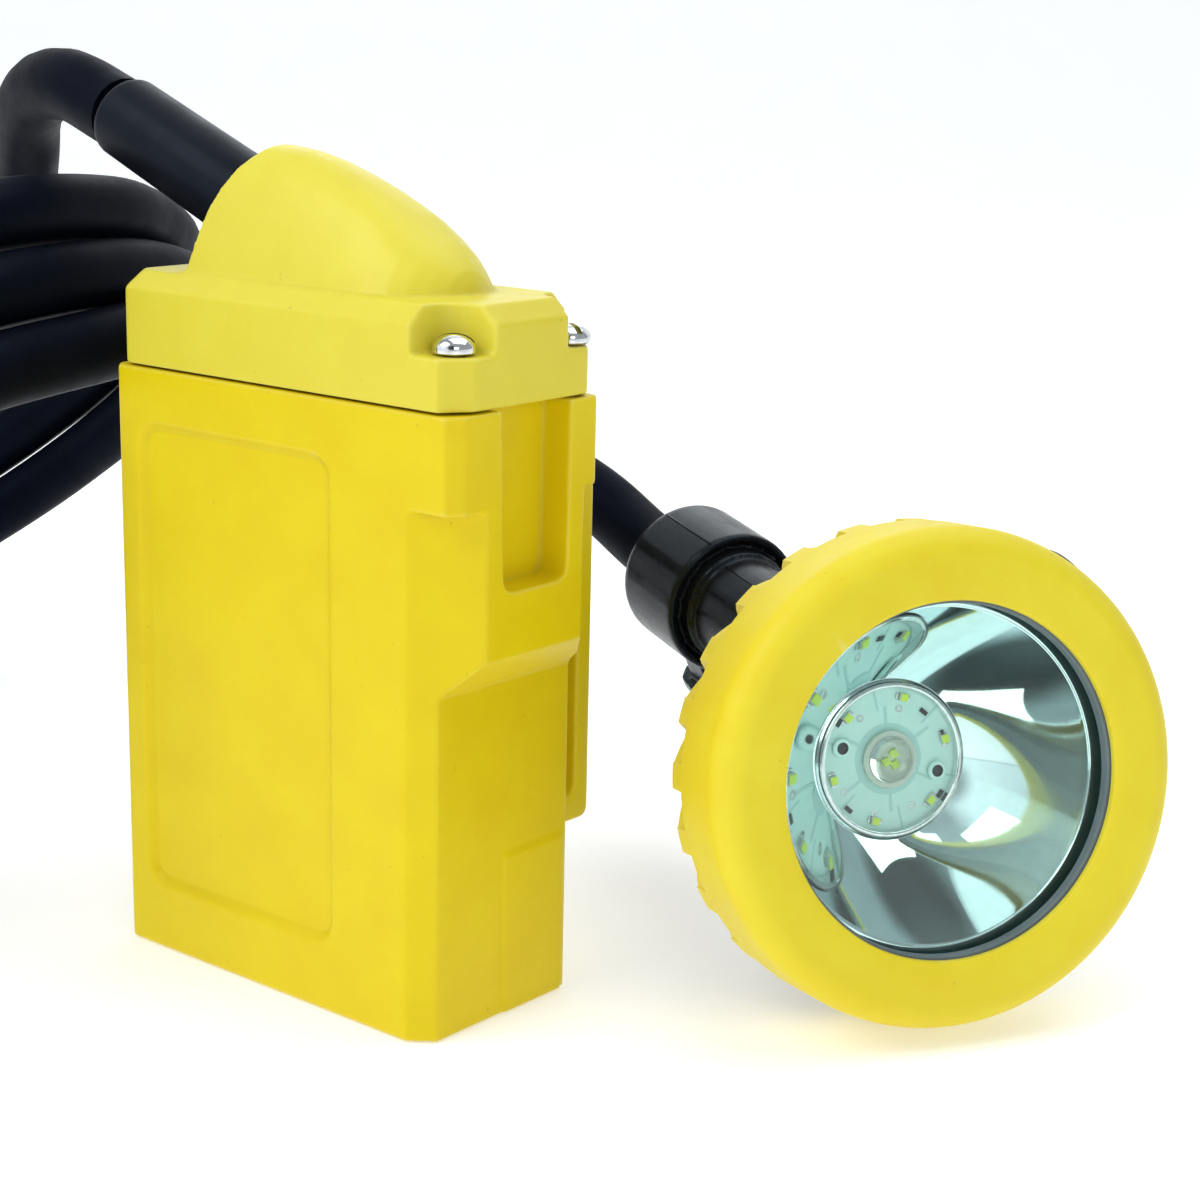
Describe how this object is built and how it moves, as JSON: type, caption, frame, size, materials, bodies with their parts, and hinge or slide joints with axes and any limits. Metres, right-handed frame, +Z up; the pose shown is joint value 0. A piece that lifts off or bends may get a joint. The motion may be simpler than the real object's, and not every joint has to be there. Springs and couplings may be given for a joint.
{
  "type": "miner cap lamp",
  "caption": "Corded cap lamp with a belt-worn battery pack, a black rubber cord and a round headpiece with helmet hook, notched bezel and LED light.",
  "frame": {"origin": "centre of the battery's flat bottom face, on the surface it stands on", "axes": "+Z up through the battery, +X along its broad face towards the narrow face with the pocket, +Y towards the belt loops; the headpiece lies at +X +Y and the coil of cord at -X"},
  "size_m": [0.2811, 0.183, 0.1258],
  "materials": {
    "yellow_case": "satin",
    "yellow_cover": "satin",
    "yellow_bezel": "satin",
    "black_moulding": "semi-gloss",
    "black_plastic": "matt",
    "black_rubber": "satin",
    "grey_rubber": "matt",
    "chrome": "polished",
    "reflector_metal": "mirror coated",
    "brass": "satin",
    "nickel": "satin",
    "aluminium": "machined",
    "cell_wrap": "shrink film",
    "board_green": "solder resist",
    "board_white": "white solder resist",
    "clear": "clear",
    "led_yellow": "phosphor",
    "foam": "closed-cell foam",
    "wire_red": "satin"
  },
  "bodies": {
    "lamp": {"battery_case": "yellow_case", "battery_cover": "yellow_cover", "bezel_seal": "black_rubber", "board_carrier": "aluminium", "board_screw_left": "black_plastic", "board_screw_right": "black_plastic", "cell_cradle": "black_plastic", "cell_left": "cell_wrap", "cell_right": "cell_wrap", "cell_strip_bottom": "nickel", "cell_strip_top": "nickel", "clamp_screw_back": "chrome", "clamp_screw_front": "chrome", "cord_boot": "black_rubber", "cord_clamp": "black_plastic", "cord_coil": "black_rubber", "cord_to_coil": "black_rubber", "cord_to_head": "black_rubber", "cover_screw_far": "chrome", "cover_screw_near": "chrome", "cover_seal": "grey_rubber", "foam_pad": "foam", "head_body": "black_moulding", "helmet_hook": "black_moulding", "hook_contact": "brass", "hook_screw": "chrome", "led_board": "board_white", "main_led": "clear", "protection_board": "board_green", "reflector": "reflector_metal", "side_led_1": "led_yellow", "side_led_2": "led_yellow", "side_led_3": "led_yellow", "side_led_4": "led_yellow", "side_led_5": "led_yellow", "side_led_6": "led_yellow", "sleeve_gland": "black_rubber", "switch_seal": "black_rubber", "switch_unit": "black_plastic", "wire_negative": "black_rubber", "wire_positive": "wire_red"},
    "lens_carrier": {"lens": "clear", "lens_gasket": "grey_rubber"},
    "bezel": {"bezel_ring": "yellow_bezel"},
    "switch": {"switch_knob": "black_moulding", "switch_shaft": "aluminium"}
  },
  "joints": [
    {"name": "switch_turn", "type": "hinge", "parent": "lamp", "child": "switch", "pos_m": [0.06697, 0.0721, 0.05134], "axis": [0.3509, 0.734, 0.5815], "range_deg": [0, 120]},
    {"name": "lens_advance", "type": "slide", "parent": "lamp", "child": "lens_carrier", "axis": [0.8425, -0.5185, 0.1461], "range_m": [0, 0.0046]},
    {"name": "bezel_turn", "type": "hinge", "parent": "lens_carrier", "child": "bezel", "pos_m": [0.07612, 0.03512, 0.03575], "axis": [0.8425, -0.5185, 0.1461], "range_deg": [0, 540]}
  ],
  "couplings": [
    {"joint": "lens_advance", "follows": "bezel_turn", "m_per_rad": 0.00047746}
  ]
}
